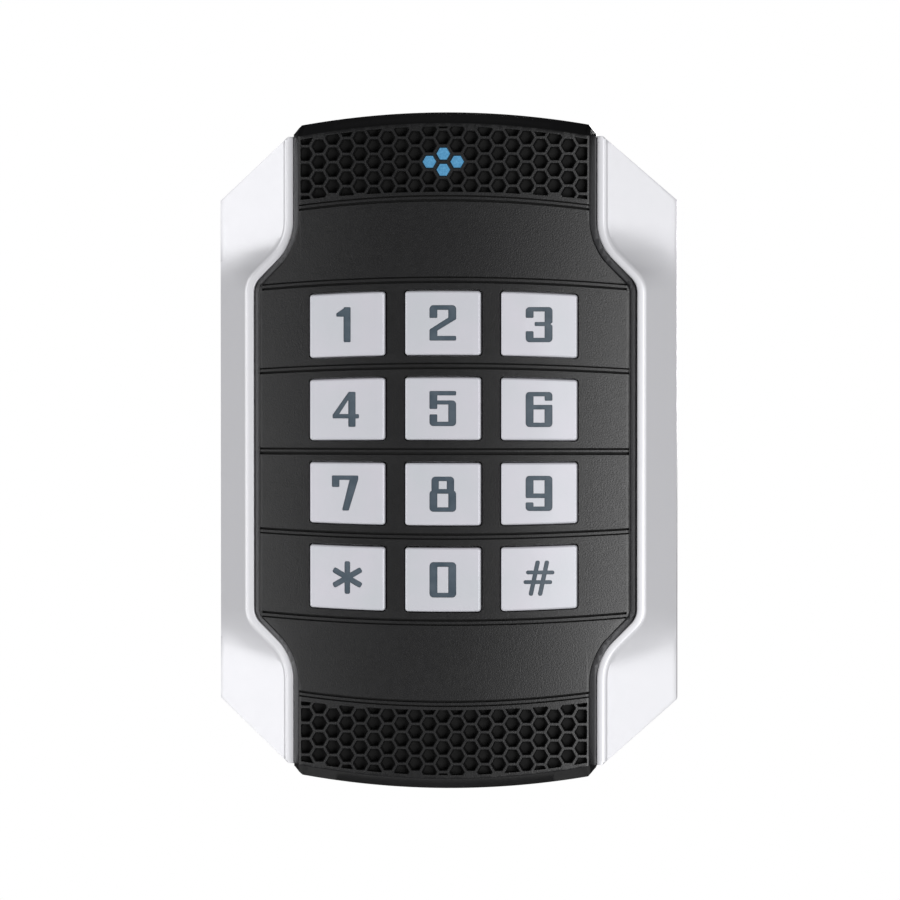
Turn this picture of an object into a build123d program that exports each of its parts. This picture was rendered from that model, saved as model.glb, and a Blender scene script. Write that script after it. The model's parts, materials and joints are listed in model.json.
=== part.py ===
"""A wall-mounted keypad access reader, built as an assembly of separate pieces.

The back lies on the wall in the plane y = 0 and the front faces -Y. X runs to the right as seen from
the front and Z runs up. Heights off the wall are given as plain positive numbers, so a height of 5 is
the plane y = -5. Every length is in millimetres.
"""

from build123d import *
from math import copysign, cos, exp, radians, sin, sqrt
import os

# ---- overall size -----------------------------------------------------------------------------------
HALF_HEIGHT = 68.5  # half the height over the curved ends of the front panel
HALF_WIDTH = 46.7  # half the width over the two metal wings

# ---- plan of the front panel: a wide waist, narrow ends, joined by S curves -------------------------
WAIST_HALF = 38.8
END_HALF = 30.7
S_START_Z = 46.4  # where the straight end side turns into the S curve
S_HOLLOW_R = 11.1
S_ROUND_R = 4.0
END_CORNER_X, END_CORNER_Z = 29.1, 65.95  # outer end of each end arc
END_DROP = HALF_HEIGHT - END_CORNER_Z
END_CHAMFER = 1.6

# ---- plan of the wings ------------------------------------------------------------------------------
WING_TIP_X, WING_TIP_Z = 31.9, 63.6  # where the slanted corner meets the panel
WING_CORNER_Z = 50.9  # where the slanted corner meets the outer side
WING_GAP = 0.1  # between a wing and the panel's side
LIP_WIDTH = 2.1
WING_STEPS = 6  # straight-sided stretches that follow the S curve

# ---- heights off the wall ---------------------------------------------------------------------------
FLANGE_TOP = 2.4  # the rear case's edge, which the panel and wings stand on
RECESS_TOP = 2.6  # depth of the pocket that hides the wall plate
FLOOR_TOP = 4.6
TUB_TOP = 9.0
SEAL_TOP = 10.0
BOARD_BACK = 10.4
BOARD_FRONT = 12.0
MAT_TOP = 13.0
PLATFORM_TOP = 16.0  # where the mat's platforms carry the keys
FLANGE_BACK = 17.0
FLANGE_FRONT = 18.2
FRAME_BACK = 18.3  # flat back of the panel around the keys
LIP_TOP = 17.8
WING_EDGE_TOP = 9.0
BEVEL_START = 17.9
FACE_TOP = 23.0  # the middle of the panel's front
KEY_PROUD = 1.2

# ---- front curvature --------------------------------------------------------------------------------
CROSS_R = 300.0
BEVEL_SLANT = 24.0  # degrees, the panel's bevelled edge against the direction of depth

# ---- walls and fits ---------------------------------------------------------------------------------
PANEL_WALL = 2.0
PANEL_RIB_WALL = 3.6
TUB_GAP = 0.3
TUB_WALL = 1.6
FACE_WALL = 2.2
END_POCKET_INSET = 4.4  # wall left round the hollows behind the panel's ends
WING_WALL = 1.8
CASE_INSET = 0.8
FAR = 60.0  # longer than any cut needs

# ---- keypad -----------------------------------------------------------------------------------------
COLUMN_PITCH = 19.36
ROW_PITCH = 17.25
KEY_WIDTH = 15.27
OUTER_ROW_HEIGHT = 12.9
INNER_ROW_HEIGHT = 12.6
KEY_CORNER_R = 0.6
KEY_EDGE_R = 0.45
KEY_GAP = 0.28
KEY_FLANGE = 0.85
KEY_TRAVEL = 1.2
LEGENDS = ("1", "2", "3", "4", "5", "6", "7", "8", "9", "star", "0", "hash")
LEGEND_DEPTH = 0.55
LEGEND_THICK = 0.4
LEGEND_CLEARANCE = 0.04

# ---- grooves across the panel -----------------------------------------------------------------------
GROOVE_LINES = (0.0, 17.25, 34.6, 51.0)  # heights of the groove pairs, mirrored below the middle
GROOVE_STEP = 0.85  # between the two lines of a pair
GROOVE_WIDTH = 0.36
GROOVE_DEPTH = 0.35

# ---- status window ----------------------------------------------------------------------------------
HEX_PITCH = 3.235  # flat to flat, of the honeycomb
HEX_ACROSS = 2.45
STATUS_Z = 58.3

# ---- fixings ----------------------------------------------------------------------------------------
CASE_BOSS_R = 2.8
CASE_BOSSES = [(x, z) for x in (-22.5, 22.5) for z in (-57.6, 57.6)]
CASE_BOSSES += [(x, z) for x in (-32.1, 32.1) for z in (-12.5, 12.5)]
BOARD_POSTS = [(x, z) for x in (-31.7, 31.7) for z in (-26.0, 26.0)]
BOARD_POST_R, BOARD_SCREW_R = 2.0, 0.8
WING_BOSSES = [(x, z) for x in (-39.2, 39.2) for z in (-47.5, 47.5)]
CASE_SCREW_R, PILOT_GAP = 1.2, 0.05
SCREW_WELL_R, SCREW_HOLE_R = 2.9, 1.6  # in the rear case, for the heads and the shanks

# ---- wall plate -------------------------------------------------------------------------------------
PLATE_T = 1.2
PLATE_INSET = 4.4
PLATE_END_Z = 54.5
PLATE_WINDOW = (28.0, 44.0)
BOX_SPACING = 60.0  # between the screws of a square wall box
GANG_SPACING = 83.3  # between the screws of an upright wall box
SLOT_R, SLOT_LENGTH = 2.2, 6.4
WALL_SLOTS = [(side * BOX_SPACING / 2, 0.0) for side in (1, -1)]
WALL_SLOTS += [(0.0, side * GANG_SPACING / 2) for side in (1, -1)]
HEAD_ROOM = 4.8  # height of the pockets over the heads of the wall screws
SECURITY_H = 5.7  # height of the security screw off the wall

# ---- parts on the back of the board -----------------------------------------------------------------
DIP_Z = 10.0
DIP_WAYS = 8
DIP_PITCH = 2.54
DIP_SIZE = (21.6, 6.2)
DIP_FACE = 6.8
DIP_TRAVEL = 1.3
GROMMET_Z = -11.0
GROMMET_BORE_R = 3.5
GROMMET_HOLE_R, GROMMET_RIM_R = 5.2, 7.4
TAMPER_X, TAMPER_Z = 0.0, 32.0
TAMPER_SHOULDER = 7.6
TAMPER_STEM_R = 1.9
SPRING_WIRE_R = 0.18


# ---- shared shapes ----------------------------------------------------------------------------------
OUTWARD = Vector(0, -1, 0)  # away from the wall


def prism(plan, low, high):
    """A plan drawn in x and z, made solid from height low to height high off the wall."""
    return extrude(Plane.XZ.offset(low) * plan, amount=high - low, dir=OUTWARD)


def post(x, z, radius, low, high):
    """A round post standing off the wall."""
    return prism(Pos(x, z) * Circle(radius), low, high)


def block(x, z, width, height, low, high):
    """A rectangular block standing off the wall, centred on x and z."""
    return prism(Pos(x, z) * Rectangle(width, height), low, high)


def rounded_block(x, z, width, height, radius, low, high):
    return prism(Pos(x, z) * RectangleRounded(width, height, radius), low, high)


def bow(z):
    """How strongly a line across the face curves (1/radius) where it crosses the middle at height z."""
    z = abs(z)
    inner = 0.0026 * (1 - exp(-min(z, 35.0) / 18.0))
    return inner + 0.000133 * max(z - 35.0, 0.0)


def bowed_z(x, z):
    """Height at x of the curved line that crosses the middle at height z."""
    return z - copysign(bow(z) * x * x / 2, z)


def bowed_band(z, x_reach, width):
    """Plan of a thin curved band across the face."""
    if z == 0 or bow(z) * x_reach * x_reach < 0.01:
        return Pos(0, z) * Rectangle(2 * x_reach, width)
    end = bowed_z(x_reach, z)
    top = ThreePointArc((-x_reach, end + width / 2), (0, z + width / 2), (x_reach, end + width / 2))
    bottom = ThreePointArc((x_reach, end - width / 2), (0, z - width / 2), (-x_reach, end - width / 2))
    return make_face([top, bottom, Line(top @ 1, bottom @ 0), Line(bottom @ 1, top @ 0)])


def under_curve(top, radius_change=0.0):
    """Everything under the curved front, whose middle line is at height top."""
    radius = CROSS_R + radius_change
    edge = top - (radius - sqrt(radius * radius - FAR * FAR))
    arc = ThreePointArc((-FAR, -edge), (0, -top), (FAR, -edge))
    sides = Polyline(arc @ 1, (FAR, 0), (-FAR, 0), arc @ 0)
    return Pos(0, 0, -1.5 * FAR) * extrude(make_face([arc, sides]), amount=3 * FAR, dir=Vector(0, 0, 1))


def s_curve():
    """Where the side's S curve changes: ends of the hollow arc, then of the round arc, as (x, z)."""
    quarter = 1 / sqrt(2)
    hollow_end_x = END_HALF + S_HOLLOW_R * (1 - quarter)
    hollow_end_z = S_START_Z - S_HOLLOW_R * quarter
    round_start_x = WAIST_HALF - S_ROUND_R * (1 - quarter)
    round_start_z = hollow_end_z - (round_start_x - hollow_end_x)
    return (hollow_end_x, hollow_end_z), (round_start_x, round_start_z), round_start_z - S_ROUND_R * quarter


def panel_half_width(z):
    """Half the panel's width at a height z on its side."""
    (hollow_x, hollow_z), (round_x, round_z), round_end_z = s_curve()
    z = abs(z)
    if z >= S_START_Z:
        return END_HALF
    if z >= hollow_z:
        return END_HALF + S_HOLLOW_R - sqrt(S_HOLLOW_R**2 - (S_START_Z - z) ** 2)
    if z >= round_z:
        return hollow_x + hollow_z - z
    if z >= round_end_z:
        return WAIST_HALF - S_ROUND_R + sqrt(S_ROUND_R**2 - (z - round_end_z) ** 2)
    return WAIST_HALF


def panel_plan():
    """Outline of the front panel."""
    hollow_end, round_start, round_end_z = s_curve()
    eighth = radians(22.5)
    hollow_mid = (END_HALF + S_HOLLOW_R * (1 - cos(eighth)), S_START_Z - S_HOLLOW_R * sin(eighth))
    round_mid = (WAIST_HALF - S_ROUND_R * (1 - cos(eighth)), round_end_z + S_ROUND_R * sin(eighth))
    corner, shoulder = (END_CORNER_X, END_CORNER_Z), (END_HALF, END_CORNER_Z - END_CHAMFER)
    start, waist = (END_HALF, S_START_Z), (WAIST_HALF, round_end_z)
    quarter = [
        Line(corner, shoulder),
        Line(shoulder, start),
        ThreePointArc(start, hollow_mid, hollow_end),
        Line(hollow_end, round_start),
        ThreePointArc(round_start, round_mid, waist),
        Line(waist, (WAIST_HALF, 0)),
        ThreePointArc(corner, (END_CORNER_X / 2, HALF_HEIGHT - END_DROP / 4), (0, HALF_HEIGHT)),
    ]
    right = make_face([*quarter, Line((0, HALF_HEIGHT), (0, 0)), Line((0, 0), (WAIST_HALF, 0))])
    upper = right + mirror(right, Plane.YZ)
    return (upper + mirror(upper, Plane.XZ)).clean()


def octagon_plan():
    """Outline around both wings."""
    upper = [(WING_TIP_X, WING_TIP_Z), (HALF_WIDTH, WING_CORNER_Z)]
    right = [*upper, *[(x, -z) for x, z in reversed(upper)]]
    left = [(-x, z) for x, z in reversed(right)]
    return fillet(Polygon(*right, *left, align=None).vertices(), 1.0)


PANEL = panel_plan()
OCTAGON = octagon_plan()


def inset(plan, distance):
    return offset(plan, -distance)


# ---- wings ------------------------------------------------------------------------------------------
def below_wing_face(side, drop=0.0):
    """Everything under a wing's face, which runs straight from the lip's foot down to the outer edge."""
    round_end_z = s_curve()[2]
    curve = [round_end_z + (S_START_Z - round_end_z) * n / WING_STEPS for n in range(WING_STEPS + 1)]
    heights = [-66.0, *[-z for z in reversed(curve)], *curve, 66.0]
    sections = []
    for z in heights:
        foot = panel_half_width(z) + WING_GAP + LIP_WIDTH
        slope = (LIP_TOP - WING_EDGE_TOP) / (HALF_WIDTH - foot)
        outer = HALF_WIDTH + 1.0
        top, low = LIP_TOP - drop, WING_EDGE_TOP - slope - drop
        corners = [(28.0, 5.0), (28.0, -top), (foot, -top), (outer, -low), (outer, 5.0)]
        sections.append(Pos(0, 0, z) * make_face(Polyline(*[(side * x, y) for x, y in corners], close=True)))
    return loft(sections, ruled=True)


def wing(side):
    """One die-cast wing: a raised lip along the panel, a sloping face and an outer wall, hollow behind."""
    half = Pos(side * 40.0, 0) * Rectangle(60.0, 140.0)
    region = (OCTAGON - offset(PANEL, WING_GAP)) & half
    region = region.faces().sort_by(SortBy.AREA)[-1]
    lip_region = region & offset(PANEL, WING_GAP + LIP_WIDTH)
    solid = prism(region, FLANGE_TOP, 30.0) & below_wing_face(side)
    solid += prism(lip_region, FLANGE_TOP, LIP_TOP)
    hollow = prism(inset(region, WING_WALL), FLANGE_TOP - 1.0, 30.0) & below_wing_face(side, WING_WALL)
    hollow -= prism(offset(PANEL, WING_GAP + LIP_WIDTH), FLANGE_TOP - 2.0, 31.0)
    for x, z in WING_BOSSES:
        if x * side > 0:
            hollow -= post(x, z, CASE_BOSS_R, FLANGE_TOP - 2.0, 31.0)
    solid -= hollow
    for x, z in WING_BOSSES:
        if x * side > 0:
            solid -= post(x, z, CASE_SCREW_R + PILOT_GAP, FLANGE_TOP - 1.0, 9.0)
    return solid


# ---- keys -------------------------------------------------------------------------------------------
def key_places():
    """(name, column x, row z, key height) for each key, from the top left."""
    places = []
    for n, name in enumerate(LEGENDS):
        row, column = divmod(n, 3)
        height = OUTER_ROW_HEIGHT if row in (0, 3) else INNER_ROW_HEIGHT
        places.append((name, (column - 1) * COLUMN_PITCH, (1.5 - row) * ROW_PITCH, height))
    return places


def key_plan(x, z, height):
    """Outline of a key, whose upper and lower edges follow the curved lines of the face."""
    left, right = x - KEY_WIDTH / 2, x + KEY_WIDTH / 2
    upper, lower = z + height / 2, z - height / 2
    top = ThreePointArc(*[(at, bowed_z(at, upper)) for at in (left, x, right)])
    bottom = ThreePointArc(*[(at, bowed_z(at, lower)) for at in (right, x, left)])
    sides = [Line(top @ 1, bottom @ 0), Line(bottom @ 1, top @ 0)]
    return fillet(make_face([top, bottom, *sides]).vertices(), KEY_CORNER_R)


def bar(x0, z0, x1, z1):
    """A straight stroke of a numeral, between two opposite corners."""
    return Pos((x0 + x1) / 2, (z0 + z1) / 2) * Rectangle(abs(x1 - x0), abs(z1 - z0))


def slant(*points):
    """A slanted stroke of a numeral, from its corners in either order."""
    stroke = Polygon(*points, align=None)
    if stroke.face().normal_at().Z < 0:
        stroke = Polygon(*reversed(points), align=None)
    return stroke


GLYPH_W, GLYPH_H = 5.4, 7.1
THICK, THIN = 1.6, 0.92
GLYPH_CORNER_R, SIGN_CORNER_R = 0.25, 0.38
BOWL_R = 0.8  # outer corners of the round numerals


def bowl(x0, z0, x1, z1):
    """A rounded box around a round numeral or a part of one, between two opposite corners."""
    return Pos((x0 + x1) / 2, (z0 + z1) / 2) * RectangleRounded(x1 - x0, z1 - z0, BOWL_R)


def glyph(name):
    """A numeral or sign drawn with thick uprights and thin crossbars, its lower left corner at 0, 0."""
    w, h, a, b = GLYPH_W, GLYPH_H, THICK, THIN
    top, bottom = bar(0, h - b, w, h), bar(0, 0, w, b)
    left, right = bar(0, 0, a, h), bar(w - a, 0, w, h)
    whole = bowl(0, 0, w, h)
    if name == "0":
        return (top + bottom + left + right) & whole
    if name == "1":
        flag = slant((0.45, 5.15), (2.3, 5.15), (2.7, h), (2.3, h), (0.45, 5.8))
        return bar(1.95, 0, 3.4, h) + flag
    if name == "2":
        hook = bar(0, 4.55, a, h) + top + bar(w - a, 4.3, w, h)
        stroke = slant((w, 4.3), (w, 4.9), (w - a, 4.6), (0, 2.2), (0, 1.2), (a, 1.2), (a, 2.0))
        return (hook & bowl(0, 3.0, w, h)) + stroke + bar(0, 0, a, 2.0) + bottom
    if name == "3":
        notch = slant((w + 0.1, 4.05), (w + 0.1, 3.3), (w - 0.4, 3.68))
        stubs = bar(0, 4.9, a, h) + bar(0, 0, a, 2.25)
        return ((top + bottom + stubs + bar(1.8, 3.25, w - 0.5, 4.1) + right) & whole) - notch
    if name == "4":
        arm = bar(-0.3, 1.7, 5.1, 1.7 + b)
        slope = slant((-0.3, 1.7), (-0.3, 2.45), (3.0, h), (4.2, h), (2.9, 5.4), (1.06, 2.6), (1.06, 1.7))
        return bar(2.9, 0, 4.4, h) + arm + slope
    if name == "5":
        lower = bar(w - a, 0, w, 5.2) + bar(0, 4.35, w, 5.2) + bottom + bar(0, 0, a, 2.4)
        return top + bar(0, 3.45, a, h) + (lower & bowl(0, 0, w, 5.2))
    if name == "6":
        upper = left + top + bar(w - a, 5.3, w, h)
        return (upper + bar(0, 3.55, w, 4.5) + bar(w - a, 0, w, 4.5) + bottom) & whole
    if name == "7":
        leg = slant((1.6, 0), (3.0, 0), (4.95, 6.3), (4.95, h), (3.3, h), (3.15, 6.2))
        return bar(-0.45, h - b, 4.95, h) + bar(-0.45, 4.75, 1.1, h) + leg
    if name == "8":
        upper, lower = bowl(0.4, 3.7, w - 0.4, h), bowl(0, 0, w, 4.35)
        return upper + lower - bar(1.9, 4.6, w - 1.9, h - b) - bar(a, b, w - a, 3.65)
    if name == "9":
        upper = top + bar(0, 2.6, a, h) + bar(0, 2.6, w, 3.55)
        return (upper + right + bottom + bar(0, 0, a, 1.75)) & whole
    if name == "star":
        arms = [Pos(w / 2, h / 2) * Rot(0, 0, 60 * n) * Rectangle(1.15, 6.6) for n in range(3)]
        return arms[0] + arms[1] + arms[2]
    lean = 0.75
    signs = bar(-0.4, 2.35, 5.35, 3.15) + bar(0.1, 4.3, 5.8, 5.1)
    for x in (1.3, 3.15):
        foot, head = x - lean, x + lean
        signs += slant((foot, 0), (foot + THIN, 0), (head + THIN, h), (head, h))
    return signs


def legend_plan(name, x, z):
    """A numeral centred on its key, with softened corners."""
    radius = SIGN_CORNER_R if name in ("star", "hash") else GLYPH_CORNER_R
    soft = offset(offset(glyph(name), -radius), radius)
    return Pos(x - GLYPH_W / 2, bowed_z(x, z) - GLYPH_H / 2) * soft


def key(name, x, z, height):
    """A key cap with an engraved numeral, and the smoky inlay that fills the numeral."""
    plan = key_plan(x, z, height)
    crown = under_curve(FACE_TOP + KEY_PROUD, KEY_PROUD)
    cap = prism(plan, FLANGE_BACK, 30.0) & crown
    cap = fillet(cap.faces().sort_by(Axis.Y)[0].edges(), KEY_EDGE_R)
    cap += prism(offset(plan, KEY_FLANGE), FLANGE_BACK, FLANGE_FRONT)
    cap += block(x, z, 8.0, 6.0, PLATFORM_TOP, FLANGE_BACK)
    numeral = legend_plan(name, x, z)
    floor_rise = KEY_PROUD - LEGEND_DEPTH
    engraving_floor = under_curve(FACE_TOP + floor_rise, floor_rise)
    inlay_top = under_curve(FACE_TOP + floor_rise + LEGEND_THICK, floor_rise + LEGEND_THICK)
    cap -= prism(numeral, 19.0, 30.0) - engraving_floor
    inlay = (prism(offset(numeral, -LEGEND_CLEARANCE), 19.0, 30.0) & inlay_top) - engraving_floor
    return cap, inlay


# ---- front panel ------------------------------------------------------------------------------------
def status_places():
    """Middles of the four lit cells of the honeycomb."""
    column = HEX_PITCH * sqrt(3) / 2
    rise = HEX_PITCH / 2
    return [(0, STATUS_Z + rise), (0, STATUS_Z - rise), (-column, STATUS_Z), (column, STATUS_Z)]


def hexagon(x, z, across):
    return Pos(x, z) * RegularPolygon(across / 2, 6, major_radius=False, rotation=0)


def front_panel():
    """The black moulding that carries the keys: a curved face, bevelled edges and a deep skirt."""
    skirt = prism(PANEL, FLANGE_TOP, BEVEL_START)
    crown = extrude(Plane.XZ.offset(BEVEL_START) * PANEL, amount=6.0, taper=BEVEL_SLANT)
    solid = (skirt + crown) & under_curve(FACE_TOP)
    solid -= prism(inset(PANEL, PANEL_WALL), FLANGE_TOP - 1.0, SEAL_TOP)
    solid -= prism(inset(PANEL, PANEL_RIB_WALL), SEAL_TOP - 0.5, FRAME_BACK)
    behind_face = prism(inset(PANEL, END_POCKET_INSET), 0.0, 31.0)
    behind_face = behind_face & under_curve(FACE_TOP - FACE_WALL, -FACE_WALL)
    for side in (1, -1):
        solid -= block(0, side * 67.0, 80.0, 60.0, FRAME_BACK - 0.5, 31.0) & behind_face
    for x, z in CASE_BOSSES:
        solid += post(x, z, CASE_BOSS_R, FLOOR_TOP + 2.0, FRAME_BACK + 2.0)
        solid -= post(x, z, CASE_SCREW_R + PILOT_GAP, 0.0, 16.0)
    for x, z in BOARD_POSTS:
        solid += post(x, z, BOARD_POST_R, BOARD_FRONT, FRAME_BACK + 0.5)
        solid -= post(x, z, BOARD_SCREW_R + PILOT_GAP, 0.0, 17.0)
    for name, x, z, height in key_places():
        solid -= prism(offset(key_plan(x, z, height), KEY_GAP), SEAL_TOP, 30.0)
    for x, z in status_places():
        solid -= prism(hexagon(x, z, HEX_ACROSS), SEAL_TOP, 30.0)
    groove_floor = under_curve(FACE_TOP - GROOVE_DEPTH, -GROOVE_DEPTH)
    for z in GROOVE_LINES:
        for end in (1, -1) if z else (1,):
            for step in (-GROOVE_STEP / 2, GROOVE_STEP / 2):
                reach = WAIST_HALF - 1.2 if z < 40 else END_HALF - 1.2
                solid -= prism(bowed_band(end * z + step, reach, GROOVE_WIDTH), 15.0, 30.0) - groove_floor
    solid -= Pos(0, -SECURITY_H, -HALF_HEIGHT) * Cylinder(3.0, 6.0)
    return solid


# ---- rear case --------------------------------------------------------------------------------------
POCKET_TOP = 8.2
TUB_OUT = PANEL_WALL + TUB_GAP
TUB_IN = TUB_OUT + TUB_WALL


def rear_case():
    """The black tray behind everything: an outer flange, a tub for the board and a pocket for the plate."""
    flange = prism(inset(OCTAGON + PANEL, CASE_INSET), 0.0, FLANGE_TOP)
    solid = flange + prism(inset(PANEL, TUB_OUT), 0.0, TUB_TOP)
    solid -= prism(inset(PANEL, TUB_IN), -1.0, RECESS_TOP)
    room = prism(inset(PANEL, TUB_IN), FLOOR_TOP, TUB_TOP + 1.0)
    for x, z in CASE_BOSSES:
        room -= post(x, z, 4.2, FLOOR_TOP, FLOOR_TOP + 2.0)
    room -= block(0, -61.5, 17.0, 9.4, FLOOR_TOP, TUB_TOP + 2.0)
    for x, z in WALL_SLOTS:
        room -= rounded_block(x, z, 12.0, 12.0, 1.5, FLOOR_TOP, HEAD_ROOM + 1.4)
    room -= rounded_block(0, DIP_Z, DIP_SIZE[0] + 3.4, DIP_SIZE[1] + 3.4, 1.0, FLOOR_TOP, DIP_FACE - 0.2)
    room -= post(0, GROMMET_Z, 8.6, FLOOR_TOP, FLOOR_TOP + 1.4)
    room -= post(TAMPER_X, TAMPER_Z, 4.0, FLOOR_TOP, FLOOR_TOP + 1.0)
    solid -= room
    for side in (1, -1):
        solid += block(side * 15.0, 61.5, 10.0, 9.0, 0.0, 1.2) & prism(inset(PANEL, TUB_OUT), 0.0, 3.0)
    solid -= block(0, -61.3, 14.0, 6.6, -1.0, POCKET_TOP)
    for x, z in WALL_SLOTS:
        solid -= rounded_block(x, z, 9.4, 9.4, 1.0, 0.0, HEAD_ROOM)
    solid -= Pos(0, -SECURITY_H, -65.0) * Cylinder(1.7, 6.0)
    for x, z in CASE_BOSSES:
        solid -= post(x, z, SCREW_WELL_R, -1.0, FLOOR_TOP)
        solid -= post(x, z, SCREW_HOLE_R, 0.0, FLOOR_TOP + 3.0)
    for x, z in WING_BOSSES:
        solid -= post(x, z, SCREW_HOLE_R, -1.0, FLANGE_TOP + 1.0)
        solid -= Pos(x, -0.85, z) * Rot(90, 0, 0) * Cone(SCREW_WELL_R, 1.2, 1.7)
    solid -= rounded_block(0, DIP_Z, DIP_SIZE[0] + 0.8, DIP_SIZE[1] + 0.8, 0.6, 0.0, DIP_FACE)
    solid -= post(0, GROMMET_Z, GROMMET_HOLE_R, 0.0, FLOOR_TOP + 2.0)
    solid -= post(0, GROMMET_Z, GROMMET_RIM_R, 0.0, RECESS_TOP + 1.0)
    solid -= post(TAMPER_X, TAMPER_Z, TAMPER_STEM_R + 0.3, 0.0, FLOOR_TOP + 2.0)
    return solid


def case_seal():
    """The soft ring squeezed between the tub's rim and the panel."""
    return prism(inset(PANEL, TUB_OUT + 0.1) - inset(PANEL, TUB_IN - 0.1), TUB_TOP, SEAL_TOP)


def cable_grommet():
    """The rubber grommet that the cable comes in by, held in its hole by a groove."""
    body = post(0, GROMMET_Z, GROMMET_RIM_R - 0.2, RECESS_TOP, RECESS_TOP + 0.9)
    body += post(0, GROMMET_Z, GROMMET_HOLE_R - 0.1, RECESS_TOP, FLOOR_TOP + 2.3)
    body += post(0, GROMMET_Z, 6.6, FLOOR_TOP + 1.5, FLOOR_TOP + 2.7)
    return body - post(0, GROMMET_Z, GROMMET_BORE_R, 0.0, 12.0)


# ---- wall plate -------------------------------------------------------------------------------------
def wall_plate():
    """The pressed steel plate that is screwed to the wall: slots, a cable window, hooks and a screw tab."""
    plan = inset(PANEL, PLATE_INSET) & Rectangle(100.0, 2 * PLATE_END_Z)
    plan += Pos(0, -PLATE_END_Z - 3.4) * Rectangle(12.0, 8.2)
    plan = plan & (Pos(0, 20.0) * Rectangle(100.0, 165.2))
    plan -= RectangleRounded(*PLATE_WINDOW, 2.0)
    for x, z in WALL_SLOTS:
        plan -= Pos(x, z) * Rot(0, 0, 0 if x else 90) * SlotOverall(SLOT_LENGTH, 2 * SLOT_R)
    plate = prism(plan, 0.0, PLATE_T)
    for side in (1, -1):
        x = side * 15.0
        plate += block(x, PLATE_END_Z - 1.0, 7.0, 3.0, PLATE_T, 2 * PLATE_T + 0.1)
        plate += block(x, PLATE_END_Z + 2.0, 7.0, 6.0, PLATE_T + 0.1, 2 * PLATE_T + 0.1)
    tab = block(0, -62.0, 12.0, PLATE_T, 0.0, 7.8) - Pos(0, -SECURITY_H, -62.0) * Cylinder(1.5, 4.0)
    return plate + tab


def security_screw():
    """The pin-head screw at the bottom that locks the reader to its wall plate."""
    head = Cylinder(2.75, 1.8, align=(Align.CENTER, Align.CENTER, Align.MIN))
    drive = Cylinder(1.2, 1.0, align=(Align.CENTER, Align.CENTER, Align.MIN))
    drive -= Cylinder(0.4, 1.0, align=(Align.CENTER, Align.CENTER, Align.MIN))
    shank = Pos(0, 0, 1.8) * Cylinder(1.45, 5.6, align=(Align.CENTER, Align.CENTER, Align.MIN))
    return Pos(0, -SECURITY_H, -HALF_HEIGHT + TUB_OUT - 1.8) * (head - drive + shank)


# ---- screws -----------------------------------------------------------------------------------------
def cross_recess(x, z, low, high):
    return block(x, z, 2.4, 0.6, low, high) + block(x, z, 0.6, 2.4, low, high)


def pan_screw(x, z, head_r, shank_r, head_low, head_high, end):
    """A screw driven away from the wall, with its head between two heights."""
    screw = post(x, z, head_r, head_low, head_high) + post(x, z, shank_r, head_high, end)
    return screw - cross_recess(x, z, head_low - 1.0, head_low + 0.8)


def case_screws():
    return [pan_screw(x, z, 2.6, CASE_SCREW_R, FLOOR_TOP - 1.8, FLOOR_TOP, 14.0) for x, z in CASE_BOSSES]


def wing_screws():
    screws = []
    for x, z in WING_BOSSES:
        head = Pos(x, -0.9, z) * Rot(90, 0, 0) * Cone(2.75, CASE_SCREW_R, 1.6)
        screw = head + post(x, z, CASE_SCREW_R, 1.7, 8.6)
        screws.append(screw - cross_recess(x, z, -1.0, 0.9))
    return screws


def board_screws():
    return [pan_screw(x, z, 1.9, BOARD_SCREW_R, BOARD_BACK - 1.3, BOARD_BACK, 16.5) for x, z in BOARD_POSTS]


# ---- circuit board ----------------------------------------------------------------------------------
BOARD_INSET = 4.6
BACKLIGHT_RISE = 5.4  # how far above each key's middle its lamp sits


def board():
    """The main circuit board, cut away round the bosses."""
    solid = prism(inset(PANEL, BOARD_INSET), BOARD_BACK, BOARD_FRONT)
    for x, z in CASE_BOSSES:
        solid -= post(x, z, CASE_BOSS_R + 0.5, 0.0, 20.0)
    for x, z in BOARD_POSTS:
        solid -= post(x, z, 0.95, 0.0, 20.0)
    return solid


def keypad_mat():
    """The silicone mat: a sheet on the board with a raised platform on a soft skirt under each key."""
    mat = rounded_block(0, 0, 58.0, 70.0, 3.0, BOARD_FRONT, MAT_TOP)
    for name, x, z, height in key_places():
        skirt = Plane.XZ.offset(MAT_TOP) * (Pos(x, z) * RectangleRounded(11.0, 8.4, 1.2))
        mat += extrude(skirt, amount=1.4, taper=32)
        mat += rounded_block(x, z, 9.0, 6.4, 0.8, MAT_TOP + 1.0, PLATFORM_TOP)
        mat -= rounded_block(x, z, 8.4, 5.8, 0.8, BOARD_FRONT - 1.0, MAT_TOP + 0.7)
        mat += rounded_block(x, z, 4.6, 3.4, 0.6, BOARD_FRONT + KEY_TRAVEL + 0.1, MAT_TOP + 1.2)
        mat -= rounded_block(x, z + BACKLIGHT_RISE, 2.6, 1.8, 0.4, BOARD_FRONT - 1.0, MAT_TOP + 1.0)
    return mat


def backlight_lamps():
    places = [(x, z + BACKLIGHT_RISE) for name, x, z, height in key_places()]
    return [block(x, z, 1.6, 0.8, BOARD_FRONT, BOARD_FRONT + 0.7) for x, z in places]


def status_lamps():
    return [block(x, z, 1.6, 0.8, BOARD_FRONT, BOARD_FRONT + 0.7) for x, z in status_places()]


def status_lens():
    """The blue light guide: four hexagonal posts on one plate, showing in the honeycomb."""
    guide = rounded_block(0, STATUS_Z, 11.0, 9.0, 1.2, 15.0, 16.4)
    for x, z in status_places():
        guide += prism(hexagon(x, z, HEX_ACROSS - 0.12), 13.2, 30.0) & under_curve(FACE_TOP - 0.25, -0.25)
    return guide


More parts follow.
